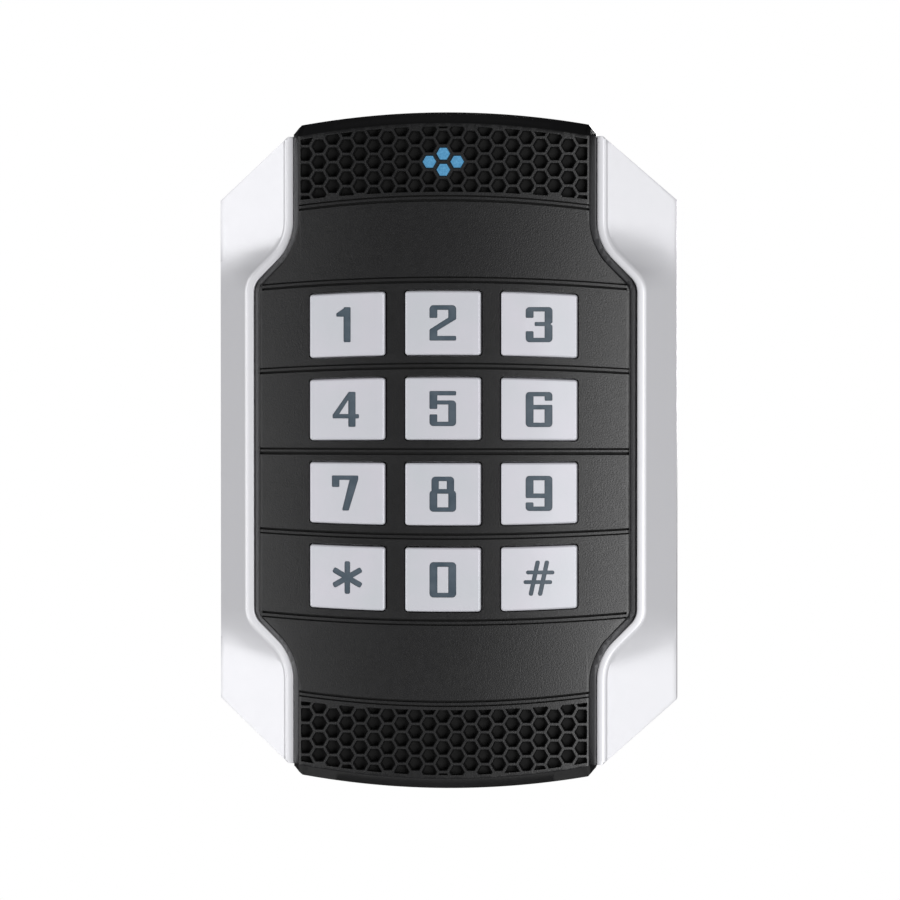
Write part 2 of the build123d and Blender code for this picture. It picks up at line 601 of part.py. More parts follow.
def antenna_coil():
    """The flat copper coil of the card reader, wound round the status lamps on the board's upper end."""
    half_w, half_h, step, middle = 18.0, 9.0, 1.3, 45.5
    points = []
    for turn in range(4):
        w, h = half_w - turn * step, half_h - turn * step
        points += [(-w, middle - h), (w, middle - h), (w, middle + h), (-w + step, middle + h)]
    return prism(trace(Polyline(*points), line_width=0.7), BOARD_FRONT, BOARD_FRONT + 0.15)


def chip(x, z, size, legs_per_side, pitch, thickness):
    """A square chip on the back of the board, with a row of legs on each of its four sides."""
    body = block(x, z, size, size, BOARD_BACK - thickness, BOARD_BACK - 0.1)
    pieces = [body]
    for n in range(legs_per_side):
        along = (n - (legs_per_side - 1) / 2) * pitch
        for side in (1, -1):
            reach = side * (size / 2 + 0.45)
            pieces.append(block(x + reach, z + along, 0.9, pitch * 0.45, BOARD_BACK - 0.3, BOARD_BACK))
            pieces.append(block(x + along, z + reach, pitch * 0.45, 0.9, BOARD_BACK - 0.3, BOARD_BACK))
    return pieces


BUZZER_X, BUZZER_Z = -17.0, -42.0


def buzzer():
    """The round sounder, with the hole its sound comes out of."""
    can = post(BUZZER_X, BUZZER_Z, 5.8, BOARD_BACK - 4.6, BOARD_BACK)
    return can - post(BUZZER_X, BUZZER_Z, 1.0, 0.0, BOARD_BACK - 3.4)


HEADER_PINS, HEADER_PITCH, HEADER_Z = 10, 2.0, -32.0


def harness_header():
    """The ten-way header that the cable's plug goes into, with its pins."""
    length = HEADER_PINS * HEADER_PITCH + 2.0
    shroud = block(0, HEADER_Z, length, 5.6, BOARD_BACK - 4.8, BOARD_BACK)
    shroud -= block(0, HEADER_Z, length - 1.6, 4.0, 0.0, BOARD_BACK - 1.2)
    pins = []
    for n in range(HEADER_PINS):
        x = (n - (HEADER_PINS - 1) / 2) * HEADER_PITCH
        pins.append(block(x, HEADER_Z, 0.5, 0.5, BOARD_BACK - 4.2, BOARD_BACK - 1.2))
    return [shroud, *pins]


def capacitors():
    """Two round smoothing capacitors lying on the back of the board."""
    radius, length = 2.5, 9.0
    return [Pos(x, radius - BOARD_BACK, -47.0) * Cylinder(radius, length) for x in (14.0, 21.0)]


def small_parts():
    """The resistors and small capacitors on the back of the board."""
    rows = [(-24.0, 30.0, 5), (18.0, 30.0, 5), (-26.0, -16.0, 4), (20.0, -16.0, 4)]
    parts = []
    for x, z, count in rows:
        for n in range(count):
            parts.append(block(x + 2.2 * n, z, 1.2, 2.0, BOARD_BACK - 0.6, BOARD_BACK))
    return parts


def dip_x(n):
    return (n - (DIP_WAYS - 1) / 2) * DIP_PITCH


def dip_body():
    """The block of eight small setting switches, reached through a window in the case."""
    body = block(0, DIP_Z, *DIP_SIZE, DIP_FACE, BOARD_BACK)
    for n in range(DIP_WAYS):
        body -= block(dip_x(n), DIP_Z, 1.1, 3.0, DIP_FACE - 1.0, DIP_FACE + 1.3)
    return body


def dip_slider(n):
    """One slider, in its lower position."""
    return block(dip_x(n), DIP_Z - DIP_TRAVEL / 2, 0.96, 1.4, DIP_FACE - 0.45, DIP_FACE + 1.2)


def dip_seal():
    """The soft frame between the block of switches and the case."""
    outer = rounded_block(0, DIP_Z, DIP_SIZE[0] + 3.2, DIP_SIZE[1] + 3.2, 1.0, DIP_FACE - 0.2, BOARD_BACK)
    return outer - block(0, DIP_Z, DIP_SIZE[0] + 0.1, DIP_SIZE[1] + 0.1, 0.0, 20.0)


# ---- tamper switch ----------------------------------------------------------------------------------
def tamper_switch():
    """The housing on the board that guides the plunger and its spring."""
    body = block(TAMPER_X, TAMPER_Z, 8.0, 8.0, 7.4, BOARD_BACK)
    body -= post(TAMPER_X, TAMPER_Z, 2.9, 7.0, BOARD_BACK - 0.5)
    return body


def tamper_plunger():
    """The plunger that rests on the wall plate and comes out when the reader is pulled off it."""
    stem = post(TAMPER_X, TAMPER_Z, TAMPER_STEM_R, PLATE_T, TAMPER_SHOULDER)
    collar = post(TAMPER_X, TAMPER_Z, 2.6, TAMPER_SHOULDER - 0.7, TAMPER_SHOULDER)
    return stem + collar + post(TAMPER_X, TAMPER_Z, 1.0, TAMPER_SHOULDER, 9.0)


def tamper_spring():
    """The small coil spring behind the plunger."""
    coil = Helix(pitch=0.75, height=1.8, radius=2.0)
    wire = sweep(Plane(coil @ 0, z_dir=coil % 0) * Circle(SPRING_WIRE_R), path=coil)
    return Pos(TAMPER_X, -TAMPER_SHOULDER - SPRING_WIRE_R - 0.05, TAMPER_Z) * Rot(90, 0, 0) * wire


# ---- the assembly -----------------------------------------------------------------------------------
def assembly():
    """Every piece, by the name it is written under."""
    pieces = {
        "front_panel": front_panel(),
        "wing_left": wing(-1),
        "wing_right": wing(1),
        "rear_case": rear_case(),
        "case_seal": case_seal(),
        "cable_grommet": cable_grommet(),
        "wall_plate": wall_plate(),
        "security_screw": security_screw(),
        "case_screws": case_screws(),
        "wing_screws": wing_screws(),
        "board_screws": board_screws(),
        "main_board": board(),
        "keypad_mat": keypad_mat(),
        "backlight_lamps": backlight_lamps(),
        "status_lamps": status_lamps(),
        "status_lens": status_lens(),
        "antenna_coil": antenna_coil(),
        "control_chip": chip(-14.0, -4.0, 7.0, 8, 0.8, 1.2),
        "card_reader_chip": chip(12.0, 43.0, 5.0, 8, 0.5, 1.0),
        "buzzer": buzzer(),
        "harness_header": harness_header(),
        "capacitors": capacitors(),
        "small_parts": small_parts(),
        "dip_body": dip_body(),
        "dip_seal": dip_seal(),
        "tamper_switch": tamper_switch(),
        "tamper_plunger": tamper_plunger(),
        "tamper_spring": tamper_spring(),
    }
    for n in range(DIP_WAYS):
        pieces[f"dip_slider_{n + 1}"] = dip_slider(n)
    for name, x, z, height in key_places():
        cap, inlay = key(name, x, z, height)
        pieces[f"key_{name}_cap"] = cap
        pieces[f"key_{name}_inlay"] = inlay
    return pieces


def write(name, piece):
    """Writes one piece, or one group of like pieces, as a STEP file."""
    parts = piece if isinstance(piece, list) else [piece]
    solids = [solid for part in parts for solid in part.solids()]
    shape = solids[0] if len(solids) == 1 else Compound(children=solids)
    shape.label = name
    export_step(shape, f"parts/{name}.step")


os.makedirs("parts", exist_ok=True)
for piece_name, piece_shape in assembly().items():
    write(piece_name, piece_shape)
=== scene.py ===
import json
from math import cos, pi, radians, sin, sqrt, tan

import bmesh
import bpy
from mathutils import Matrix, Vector


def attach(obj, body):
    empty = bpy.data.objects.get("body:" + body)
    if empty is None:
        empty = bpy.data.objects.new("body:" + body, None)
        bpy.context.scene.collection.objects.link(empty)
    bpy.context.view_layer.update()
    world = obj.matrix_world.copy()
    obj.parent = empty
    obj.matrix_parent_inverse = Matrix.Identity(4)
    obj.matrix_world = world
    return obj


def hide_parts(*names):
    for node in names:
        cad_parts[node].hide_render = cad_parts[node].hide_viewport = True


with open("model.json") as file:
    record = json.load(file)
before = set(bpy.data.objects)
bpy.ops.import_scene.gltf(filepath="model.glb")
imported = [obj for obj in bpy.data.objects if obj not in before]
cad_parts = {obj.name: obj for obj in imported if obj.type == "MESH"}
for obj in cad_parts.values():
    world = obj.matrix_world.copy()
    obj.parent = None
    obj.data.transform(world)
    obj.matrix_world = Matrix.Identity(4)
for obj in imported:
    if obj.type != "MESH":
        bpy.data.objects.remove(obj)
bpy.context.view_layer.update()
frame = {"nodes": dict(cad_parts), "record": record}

MM = 0.001
nodes = frame["nodes"]

# ---- Camera ------------------------------------------------------------------------------------------
# The camera stands a metre in front of the reader, a little to its right and a little above it, with a
# long lens, so that the sides stay almost parallel.
DISTANCE = 1.0
TO_THE_RIGHT, ABOVE = radians(4.0), radians(1.3)
FACE_PLANE = 0.0205  # distance of the panel's face from the wall
aim = Vector((0.0012, -FACE_PLANE, 0.0002))
stand = Vector((
    DISTANCE * sin(TO_THE_RIGHT) * cos(ABOVE),
    -DISTANCE * cos(TO_THE_RIGHT) * cos(ABOVE),
    DISTANCE * sin(ABOVE),
))
bpy.ops.object.camera_add(location=aim + stand, rotation=(-stand).to_track_quat("-Z", "Y").to_euler())
camera = bpy.context.object
camera.data.lens = 198.0
camera.data.sensor_width = 36.0
bpy.context.scene.camera = camera

# ---- Studio: floor, white surroundings and soft lights -----------------------------------------------
# A pale floor lies well below the reader. Everything around is white to the eye, but lights the reader
# only softly. Two soft boxes stand to the right, one near the camera, two to the left, and one behind.
bpy.context.scene.view_settings.view_transform = "Standard"
world = bpy.data.worlds.new("studio")
world.use_nodes = True
bpy.context.scene.world = world
surroundings = world.node_tree.nodes["Background"]
surroundings.inputs["Strength"].default_value = 1.0
eye = world.node_tree.nodes.new("ShaderNodeLightPath")
what_is_seen = world.node_tree.nodes.new("ShaderNodeMix")
what_is_seen.data_type = "RGBA"
what_is_seen.inputs[6].default_value = (0.045, 0.045, 0.047, 1.0)
what_is_seen.inputs[7].default_value = (1.0, 1.0, 1.0, 1.0)
world.node_tree.links.new(eye.outputs["Is Camera Ray"], what_is_seen.inputs[0])
world.node_tree.links.new(what_is_seen.outputs[2], surroundings.inputs["Color"])


def soft_box(name, around, above, distance, size, power, colour):
    """A large soft light that looks at the reader from an angle around it and above it."""
    direction = Vector((sin(around) * cos(above), -cos(around) * cos(above), sin(above)))
    turn = direction.to_track_quat("Z", "Y").to_euler()
    bpy.ops.object.light_add(type="AREA", location=direction * distance, rotation=turn)
    light = bpy.context.object
    light.name = name
    light.data.shape = "RECTANGLE"
    light.data.size = size[0]
    light.data.size_y = size[1]
    light.data.energy = power
    light.data.color = colour


soft_box("right_front_box", radians(22), radians(-8), 1.1, (0.36, 0.5), 7.2, (1.0, 1.0, 1.0))
soft_box("right_side_box", radians(58), radians(-6), 1.1, (0.4, 0.7), 3.0, (1.0, 1.0, 1.0))
soft_box("left_front_box", radians(-30), radians(-8), 1.1, (0.36, 0.5), 2.6, (1.0, 1.0, 1.0))
soft_box("left_side_box", radians(-70), radians(2), 1.1, (0.4, 1.2), 6.0, (1.0, 1.0, 1.0))
soft_box("rear_box", radians(172), radians(10), 1.3, (0.4, 0.5), 6.0, (1.0, 1.0, 1.0))

bpy.ops.mesh.primitive_plane_add(size=1.8, location=(0, 0, -1.0))
floor = bpy.context.object
floor.name = "studio_floor"
floor_paint = bpy.data.materials.new("pale_floor")
floor_paint.use_nodes = True
floor_paint.node_tree.nodes["Principled BSDF"].inputs["Base Color"].default_value = (0.88, 0.88, 0.87, 1.0)
floor_paint.node_tree.nodes["Principled BSDF"].inputs["Roughness"].default_value = 0.9
floor.data.materials.append(floor_paint)

# ---- Front panel -------------------------------------------------------------------------------------
# The black front is one injection moulding with a fine spark-eroded texture. Its face is a shallow
# cylinder with bevelled edges, crossed by paired grooves, with a band of honeycomb pockets at each end.
WAIST_HALF, END_HALF = 38.75, 30.65
HALF_HEIGHT, FACE_TOP, SKIRT_LOW = 68.45, 22.98, 2.4
KNEE_IN, KNEE_OUT = 41.80, 33.70  # heights of the S curve's two corners before they are rounded
HOLLOW_R, ROUND_R = 11.1, 4.0
END_ARC_R, END_CHAMFER = 166.0, 1.6
CROSS_R = 300.0
BEHIND_FACE = 18.3


def stand_alone(*pieces):
    """Leaves edit mode and selects only these pieces, the first one active."""
    if bpy.context.object and bpy.context.object.mode != "OBJECT":
        bpy.ops.object.mode_set(mode="OBJECT")
    bpy.ops.object.select_all(action="DESELECT")
    for piece in pieces:
        piece.select_set(True)
    bpy.context.view_layer.objects.active = pieces[0]


def settle(piece):
    """Puts a piece's place, turn and size into its mesh."""
    stand_alone(piece)
    bpy.ops.object.transform_apply(location=True, rotation=True, scale=True)


def work_on(piece):
    """Enters edit mode with all of a piece selected."""
    stand_alone(piece)
    bpy.ops.object.mode_set(mode="EDIT")
    bpy.ops.mesh.select_all(action="SELECT")


def pick(kind, test):
    """In edit mode, selects the vertices, edges or faces for which the test is true."""
    bpy.ops.mesh.select_mode(type=kind)
    bpy.ops.mesh.select_all(action="DESELECT")
    shape = bmesh.from_edit_mesh(bpy.context.edit_object.data)
    group = {"VERT": shape.verts, "EDGE": shape.edges, "FACE": shape.faces}[kind]
    for item in group:
        if kind == "VERT":
            middle = item.co
        elif kind == "EDGE":
            middle = (item.verts[0].co + item.verts[1].co) / 2
        else:
            middle = item.calc_center_median()
        if test(middle / MM, item):
            item.select_set(True)
    bmesh.update_edit_mesh(bpy.context.edit_object.data)


def reshape(piece, rule):
    """Moves every point of a piece by a rule that takes and returns its place in millimetres."""
    stand_alone(piece)
    for point in piece.data.vertices:
        point.co = Vector(rule(*(point.co / MM))) * MM
    piece.data.update()


def apply_modifier(piece, kind, **settings):
    """Adds a modifier to a piece, sets it and applies it."""
    stand_alone(piece)
    modifier = piece.modifiers.new(kind.lower(), kind)
    for name, value in settings.items():
        setattr(modifier, name, value)
    bpy.ops.object.modifier_apply(modifier=modifier.name)


def cut_with(piece, cutter, operation="DIFFERENCE"):
    """Cuts a piece with another, which is then thrown away."""
    apply_modifier(piece, "BOOLEAN", operation=operation, object=cutter, solver="EXACT")
    bpy.data.objects.remove(cutter)


def joined(pieces, name):
    """Joins pieces into the first of them."""
    stand_alone(*pieces)
    bpy.ops.object.join()
    pieces[0].name = name
    return pieces[0]


def outline_block(name, low, high):
    """A flat-faced block with the panel's outline, between two heights off the wall."""
    bpy.ops.mesh.primitive_plane_add(size=MM, location=(0, -high * MM, 0), rotation=(pi / 2, 0, 0))
    block = bpy.context.object
    block.name = name
    block.scale = (2 * END_HALF, 2 * HALF_HEIGHT, 1)
    settle(block)
    work_on(block)
    for side in (1, -1):
        bpy.ops.mesh.select_all(action="SELECT")
        bpy.ops.mesh.bisect(plane_co=(0, 0, side * KNEE_IN * MM), plane_no=(0, 0, 1))
    for side in (1, -1):
        pick("EDGE", lambda m, e: abs(m.x - side * END_HALF) < 0.01 and abs(m.z) < 1)
        out = side * (WAIST_HALF - END_HALF) * MM
        bpy.ops.mesh.extrude_region_move(TRANSFORM_OT_translate={"value": (out, 0, 0)})
        bpy.ops.transform.resize(value=(1, 1, KNEE_OUT / KNEE_IN), center_override=(0, 0, 0))
    bpy.ops.mesh.select_all(action="SELECT")
    bpy.ops.mesh.dissolve_limited(angle_limit=radians(1))
    eighth = tan(pi / 8)
    pick("VERT", lambda m, v: abs(m.z) > HALF_HEIGHT - 0.01)
    bpy.ops.mesh.bevel(offset=END_CHAMFER * MM, segments=1, affect="VERTICES")
    pick("VERT", lambda m, v: abs(abs(m.z) - KNEE_IN) < 0.01)
    bpy.ops.mesh.bevel(offset=HOLLOW_R * eighth * MM, segments=14, affect="VERTICES")
    pick("VERT", lambda m, v: abs(abs(m.z) - KNEE_OUT) < 0.01 and abs(m.x) > WAIST_HALF - 0.01)
    bpy.ops.mesh.bevel(offset=ROUND_R * eighth * MM, segments=8, affect="VERTICES")
    pick("EDGE", lambda m, e: abs(m.z) > HALF_HEIGHT - 0.01)
    bpy.ops.mesh.subdivide(number_cuts=35)
    bpy.ops.object.mode_set(mode="OBJECT")

    def bend_ends(x, y, z):
        """Lets the two ends fall off towards the sides in a long arc."""
        if abs(z) < HALF_HEIGHT - END_CHAMFER - 0.01:
            return x, y, z
        fall = x * x / (2 * END_ARC_R)
        return x, y, z - fall if z > 0 else z + fall

    reshape(block, bend_ends)
    work_on(block)
    bpy.ops.mesh.extrude_region_move(TRANSFORM_OT_translate={"value": (0, (high - low) * MM, 0)})
    bpy.ops.mesh.select_all(action="SELECT")
    bpy.ops.mesh.normals_make_consistent(inside=False)
    bpy.ops.object.mode_set(mode="OBJECT")
    return block


SIDE_BEVEL, SIDE_FALL, END_BEVEL, END_FALL = 1.2, 2.7, 2.25, 5.0  # widths and depths of the slopes
CREST_ROUND = 0.24
WALL, SEAL_LEDGE, LEDGE_WIDTH = 2.0, 10.0, 0.6
panel = outline_block("front_panel_moulding", SKIRT_LOW, FACE_TOP - SIDE_FALL)
work_on(panel)
pick("FACE", lambda m, f: abs(m.y + SKIRT_LOW) < 0.01)
bpy.ops.mesh.inset(thickness=WALL * MM)
bpy.ops.mesh.extrude_region_move(TRANSFORM_OT_translate={"value": (0, (SKIRT_LOW - SEAL_LEDGE) * MM, 0)})
bpy.ops.mesh.inset(thickness=LEDGE_WIDTH * MM)
bpy.ops.mesh.extrude_region_move(TRANSFORM_OT_translate={"value": (0, (SEAL_LEDGE - BEHIND_FACE) * MM, 0)})
pick("FACE", lambda m, f: m.y < -(FACE_TOP - SIDE_FALL - 0.01))
bpy.ops.mesh.inset(thickness=SIDE_BEVEL * MM)
bpy.ops.transform.translate(value=(0, -SIDE_FALL * MM, 0))


def from_end(m):
    """How far a place on the face lies inside the curved end of the outline."""
    return HALF_HEIGHT - m.x * m.x / (2 * END_ARC_R) - abs(m.z)


for end in (1, -1):
    pick("VERT", lambda m, v: m.y < -(FACE_TOP - 0.01) and m.z * end > 0 and from_end(m) < SIDE_BEVEL + 0.5)
    bpy.ops.transform.translate(value=(0, 0, end * (SIDE_BEVEL - END_BEVEL) * MM))
pick("VERT", lambda m, v: abs(m.y + FACE_TOP - SIDE_FALL) < 0.01 and from_end(m) < 0.1)
bpy.ops.transform.translate(value=(0, (END_FALL - SIDE_FALL) * MM, 0))
pick("EDGE", lambda m, e: m.y < -(FACE_TOP - 0.01))
bpy.ops.transform.edge_bevelweight(value=1.0)
bpy.ops.object.mode_set(mode="OBJECT")
apply_modifier(panel, "BEVEL", limit_method="WEIGHT", width=CREST_ROUND * MM, segments=2)

# ---- Front panel: paired grooves ---------------------------------------------------------------------
# Seven pairs of fine grooves run across the moulding between its side bevels, the one nearer the middle
# a little broader. They bow away from the middle, more so towards the ends.
GROOVE_APART, FINE_GROOVE, BROAD_GROOVE, GROOVE_DEEP = 0.92, 0.42, 0.62, 1.20
GROOVE_FLOOR = 0.5  # share of a groove's width that is left at its floor


def bow_of(z):
    """How strongly a line across the face curves where it crosses the middle at height z."""
    z = abs(z)
    return 0.0026 * (1 - 2.718 ** (-min(z, 35.0) / 18.0)) + 0.000133 * max(z - 35.0, 0.0)


def bowed(x, z, middle_z):
    """The height z of a straight bar, bowed like the line that crosses the middle at middle_z."""
    fall = bow_of(middle_z) * x * x / 2
    return z - fall if middle_z > 0 else z + fall


def straight_bar(name, x_half, y_low, y_high, z_low, z_high, cuts):
    """A box that has been divided along its length, so that it can be bowed."""
    centre = Vector((0, -(y_low + y_high) / 2, (z_low + z_high) / 2)) * MM
    bpy.ops.mesh.primitive_cube_add(size=MM, location=centre)
    bar = bpy.context.object
    bar.name = name
    bar.scale = (2 * x_half, y_high - y_low, z_high - z_low)
    settle(bar)
    work_on(bar)
    pick("EDGE", lambda m, e: abs(m.x) < 0.01)
    bpy.ops.mesh.subdivide(number_cuts=cuts)
    bpy.ops.object.mode_set(mode="OBJECT")
    return bar


groove_cutters = []
for line, reach in ((0, 37.4), (17.25, 37.4), (34.6, 36.9), (51.0, 29.35)):
    for end in (1, -1) if line else (1,):
        for step in (-GROOVE_APART / 2, GROOVE_APART / 2):
            middle = end * line + step
            wide = BROAD_GROOVE if step * end < 0 else FINE_GROOVE
            low, high = middle - wide / 2, middle + wide / 2
            bar = straight_bar("groove", reach, FACE_TOP - GROOVE_DEEP, FACE_TOP + 1, low, high, 24)

            def groove_shape(x, y, z):
                if y > -FACE_TOP:
                    z = middle + (z - middle) * GROOVE_FLOOR
                return x, y, bowed(x, z, middle if line else 0.0)

            if line:
                reshape(bar, groove_shape)
            groove_cutters.append(bar)
cut_with(panel, joined(groove_cutters, "groove_cutters"))

# ---- Front panel: key openings -----------------------------------------------------------------------
# Twelve openings let the keys through. Their upper and lower edges run along with the grooves.
KEY_GAP, OPENING_CORNER = 0.28, 0.8
OUTER_ROW_HEIGHT, INNER_ROW_HEIGHT = 12.9, 12.6
COLUMN_PITCH, ROW_PITCH, KEY_WIDTH = 19.36, 17.25, 15.27
opening_cutters = []
for row in range(4):
    for column in range(3):
        x_middle, z_middle = (column - 1) * COLUMN_PITCH, (1.5 - row) * ROW_PITCH
        x_half = KEY_WIDTH / 2 + KEY_GAP
        z_half = (OUTER_ROW_HEIGHT if row in (0, 3) else INNER_ROW_HEIGHT) / 2 + KEY_GAP
        bar = straight_bar("opening", x_half, 12.0, FACE_TOP + 1, -z_half, z_half, 8)
        work_on(bar)
        pick("EDGE", lambda m, e: abs(abs(m.x) - x_half) < 0.01 and abs(abs(m.z) - z_half) < 0.01)
        bpy.ops.mesh.bevel(offset=OPENING_CORNER * MM, segments=4, affect="EDGES")
        bpy.ops.object.mode_set(mode="OBJECT")

        def opening_shape(x, y, z):
            edge = z_middle + (z_half if z > 0 else -z_half)
            return x + x_middle, y, bowed(x + x_middle, z + z_middle, edge)

        reshape(bar, opening_shape)
        opening_cutters.append(bar)
cut_with(panel, joined(opening_cutters, "opening_cutters"))

# ---- Front panel: honeycomb --------------------------------------------------------------------------
# Each end has a band of blind hexagonal pockets with rounded ribs between them, cut off along the band's
# edge. Four cells of the upper band go right through and let the status light out.
CELL_PITCH, CELL_ACROSS, CELL_DEEP = 3.235, 2.40, 2.8
BAND_HALF, BAND_TOP, BAND_TOP_R, BAND_LOW, BAND_LOW_R = 29.0, 65.4, 165.0, 52.25, 270.0
STATUS_Z, WINDOW_DEEP = 58.3, 12.0
FLARE_LOW = 0.3  # the cells' straight walls end this far below the face
column_step = CELL_PITCH * sqrt(3) / 2


def cell_cutter(x, z, deep):
    """A hexagonal cutter that flares at the face, so that the ribs between cells come out rounded."""
    bpy.ops.mesh.primitive_cylinder_add(
        vertices=6,
        radius=CELL_ACROSS / sqrt(3) * MM,
        depth=(deep - FLARE_LOW) * MM,
        location=(x * MM, -(FACE_TOP - FLARE_LOW - (deep - FLARE_LOW) / 2) * MM, z * MM),
        rotation=(pi / 2, 0, 0),
    )
    cell = bpy.context.object
    bpy.ops.transform.rotate(value=radians(30), orient_axis="Y", center_override=cell.location)
    settle(cell)
    work_on(cell)
    pick("FACE", lambda m, f: m.y < -(FACE_TOP - FLARE_LOW - 0.01))
    middle = (x * MM, -FACE_TOP * MM, z * MM)
    for rise, spread in ((0.15, 1.05), (0.19, 1.13), (0.8, 1.0)):
        bpy.ops.mesh.extrude_region_move(TRANSFORM_OT_translate={"value": (0, -rise * MM, 0)})
        bpy.ops.transform.resize(value=(spread, 1, spread), center_override=middle)
    bpy.ops.object.mode_set(mode="OBJECT")
    return cell


def is_status_cell(x, z, end):
    """Whether the cell at this place is one of the four that let the status light out."""
    near_middle = abs(x) < 0.1 and abs(abs(z - STATUS_Z) - CELL_PITCH / 2) < 0.1
    beside = abs(abs(x) - column_step) < 0.1 and abs(z - STATUS_Z) < 0.1
    return end > 0 and (near_middle or beside)


for end in (1, -1):
    pockets, windows = [], []
    for column in range(-11, 12):
        for row in range(-4, 5):
            x = column * column_step
            z = STATUS_Z + (row + (0.5 if column % 2 == 0 else 0)) * CELL_PITCH
            if is_status_cell(x, z, end):
                windows.append(cell_cutter(x, z, WINDOW_DEEP))
                continue
            top = BAND_TOP - x * x / (2 * BAND_TOP_R) + 1.0
            low = BAND_LOW - x * x / (2 * BAND_LOW_R) - 1.0
            if low < z < top and abs(x) < BAND_HALF + 0.9:
                pockets.append(cell_cutter(x, end * z, CELL_DEEP))
    honeycomb = joined(pockets, "honeycomb_cutters")
    band = straight_bar("band", BAND_HALF, 15.0, FACE_TOP + 0.5, BAND_LOW, BAND_TOP, 24)

    def band_shape(x, y, z):
        radius = BAND_TOP_R if z > (BAND_LOW + BAND_TOP) / 2 else BAND_LOW_R
        return x, y, end * (z - x * x / (2 * radius))

    reshape(band, band_shape)
    work_on(band)
    bpy.ops.mesh.normals_make_consistent(inside=False)
    bpy.ops.object.mode_set(mode="OBJECT")
    cut_with(honeycomb, band, "INTERSECT")
    cut_with(panel, honeycomb)
    if windows:
        cut_with(panel, joined(windows, "window_cutters"))

# ---- Front panel: curved face, screw pillars and finish ----------------------------------------------
# The face is bent to its shallow cylinder. Behind it stand the pillars that the case and the board are
# screwed to, and a hole in the lower wall takes the head of the security screw.


def onto_cylinder(x, y, z):
    """Lays the face and what is cut into it on a long cylinder."""
    if y > -(BEHIND_FACE + 0.5):
        return x, y, z
    return x, y + CROSS_R - sqrt(CROSS_R * CROSS_R - x * x), z


STRIP, STRIPS = 0.8, 48  # width of the flat strips that make the curved face, and their number a side
work_on(panel)
bpy.ops.mesh.select_mode(type="EDGE")
bpy.ops.mesh.select_all(action="DESELECT")
bpy.ops.mesh.select_non_manifold()
bpy.ops.mesh.fill_holes(sides=4)
for n in range(-STRIPS, STRIPS + 1):
    pick("FACE", lambda m, f: m.y < -(BEHIND_FACE + 0.4))
    bpy.ops.mesh.bisect(plane_co=(n * STRIP * MM, 0, 0), plane_no=(1, 0, 0))
bpy.ops.object.mode_set(mode="OBJECT")
reshape(panel, onto_cylinder)


def pillar(x, z, radius, hole, low, high):
    """A screw pillar with a blind hole from behind."""
    middle = (x * MM, -(low + high) / 2 * MM, z * MM)
    turn = (pi / 2, 0, 0)
    bpy.ops.mesh.primitive_cylinder_add(
        vertices=32, radius=radius * MM, depth=(high - low) * MM, location=middle, rotation=turn
    )
    post = bpy.context.object
    settle(post)
    work_on(post)
    pick("FACE", lambda m, f: m.y > -low - 0.01)
    bpy.ops.mesh.inset(thickness=(radius - hole) * MM)
    bpy.ops.mesh.extrude_region_move(TRANSFORM_OT_translate={"value": (0, -(high - low - 2.2) * MM, 0)})
    bpy.ops.object.mode_set(mode="OBJECT")
    return post


pillars = [pillar(x, z, 2.8, 1.25, 6.6, 18.6) for x in (-22.5, 22.5) for z in (-57.6, 57.6)]
pillars += [pillar(x, z, 2.8, 1.25, 6.6, 18.6) for x in (-32.1, 32.1) for z in (-12.5, 12.5)]
pillars += [pillar(x, z, 2.0, 0.85, 12.0, 18.6) for x in (-31.7, 31.7) for z in (-26.0, 26.0)]
bpy.ops.mesh.primitive_cylinder_add(
    vertices=48, radius=3.0 * MM, depth=6 * MM, location=(0, -5.7 * MM, -68.5 * MM)
)
cut_with(panel, bpy.context.object)
panel = joined([panel, *pillars], "front_panel_moulding")
stand_alone(panel)
bpy.ops.object.shade_smooth_by_angle(angle=radians(28))
apply_modifier(panel, "WEIGHTED_NORMAL", keep_sharp=True)


def new_finish(name, colour, roughness, metallic=0.0):
    """A new material, with its main values set on the shader itself."""
    material = bpy.data.materials.new(name)
    material.use_nodes = True
    shader = material.node_tree.nodes["Principled BSDF"]
    shader.inputs["Base Color"].default_value = (*colour, 1.0)
    shader.inputs["Roughness"].default_value = roughness
    shader.inputs["Metallic"].default_value = metallic
    return material


def noise_on(material, scale, detail=2.0):
    """A noise pattern fixed to the piece itself. The scale is in patches per metre."""
    tree = material.node_tree
    place = tree.nodes.new("ShaderNodeTexCoord")
    noise = tree.nodes.new("ShaderNodeTexNoise")
    noise.inputs["Scale"].default_value = scale
    noise.inputs["Detail"].default_value = detail
    tree.links.new(place.outputs["Object"], noise.inputs["Vector"])
    return noise


def add_grain(material, scale, strength, distance=0.00005):
    """Fine surface relief."""
    tree = material.node_tree
    noise = noise_on(material, scale)
    bump = tree.nodes.new("ShaderNodeBump")
    bump.inputs["Strength"].default_value = strength
    bump.inputs["Distance"].default_value = distance
    tree.links.new(noise.outputs["Fac"], bump.inputs["Height"])
    tree.links.new(bump.outputs["Normal"], tree.nodes["Principled BSDF"].inputs["Normal"])


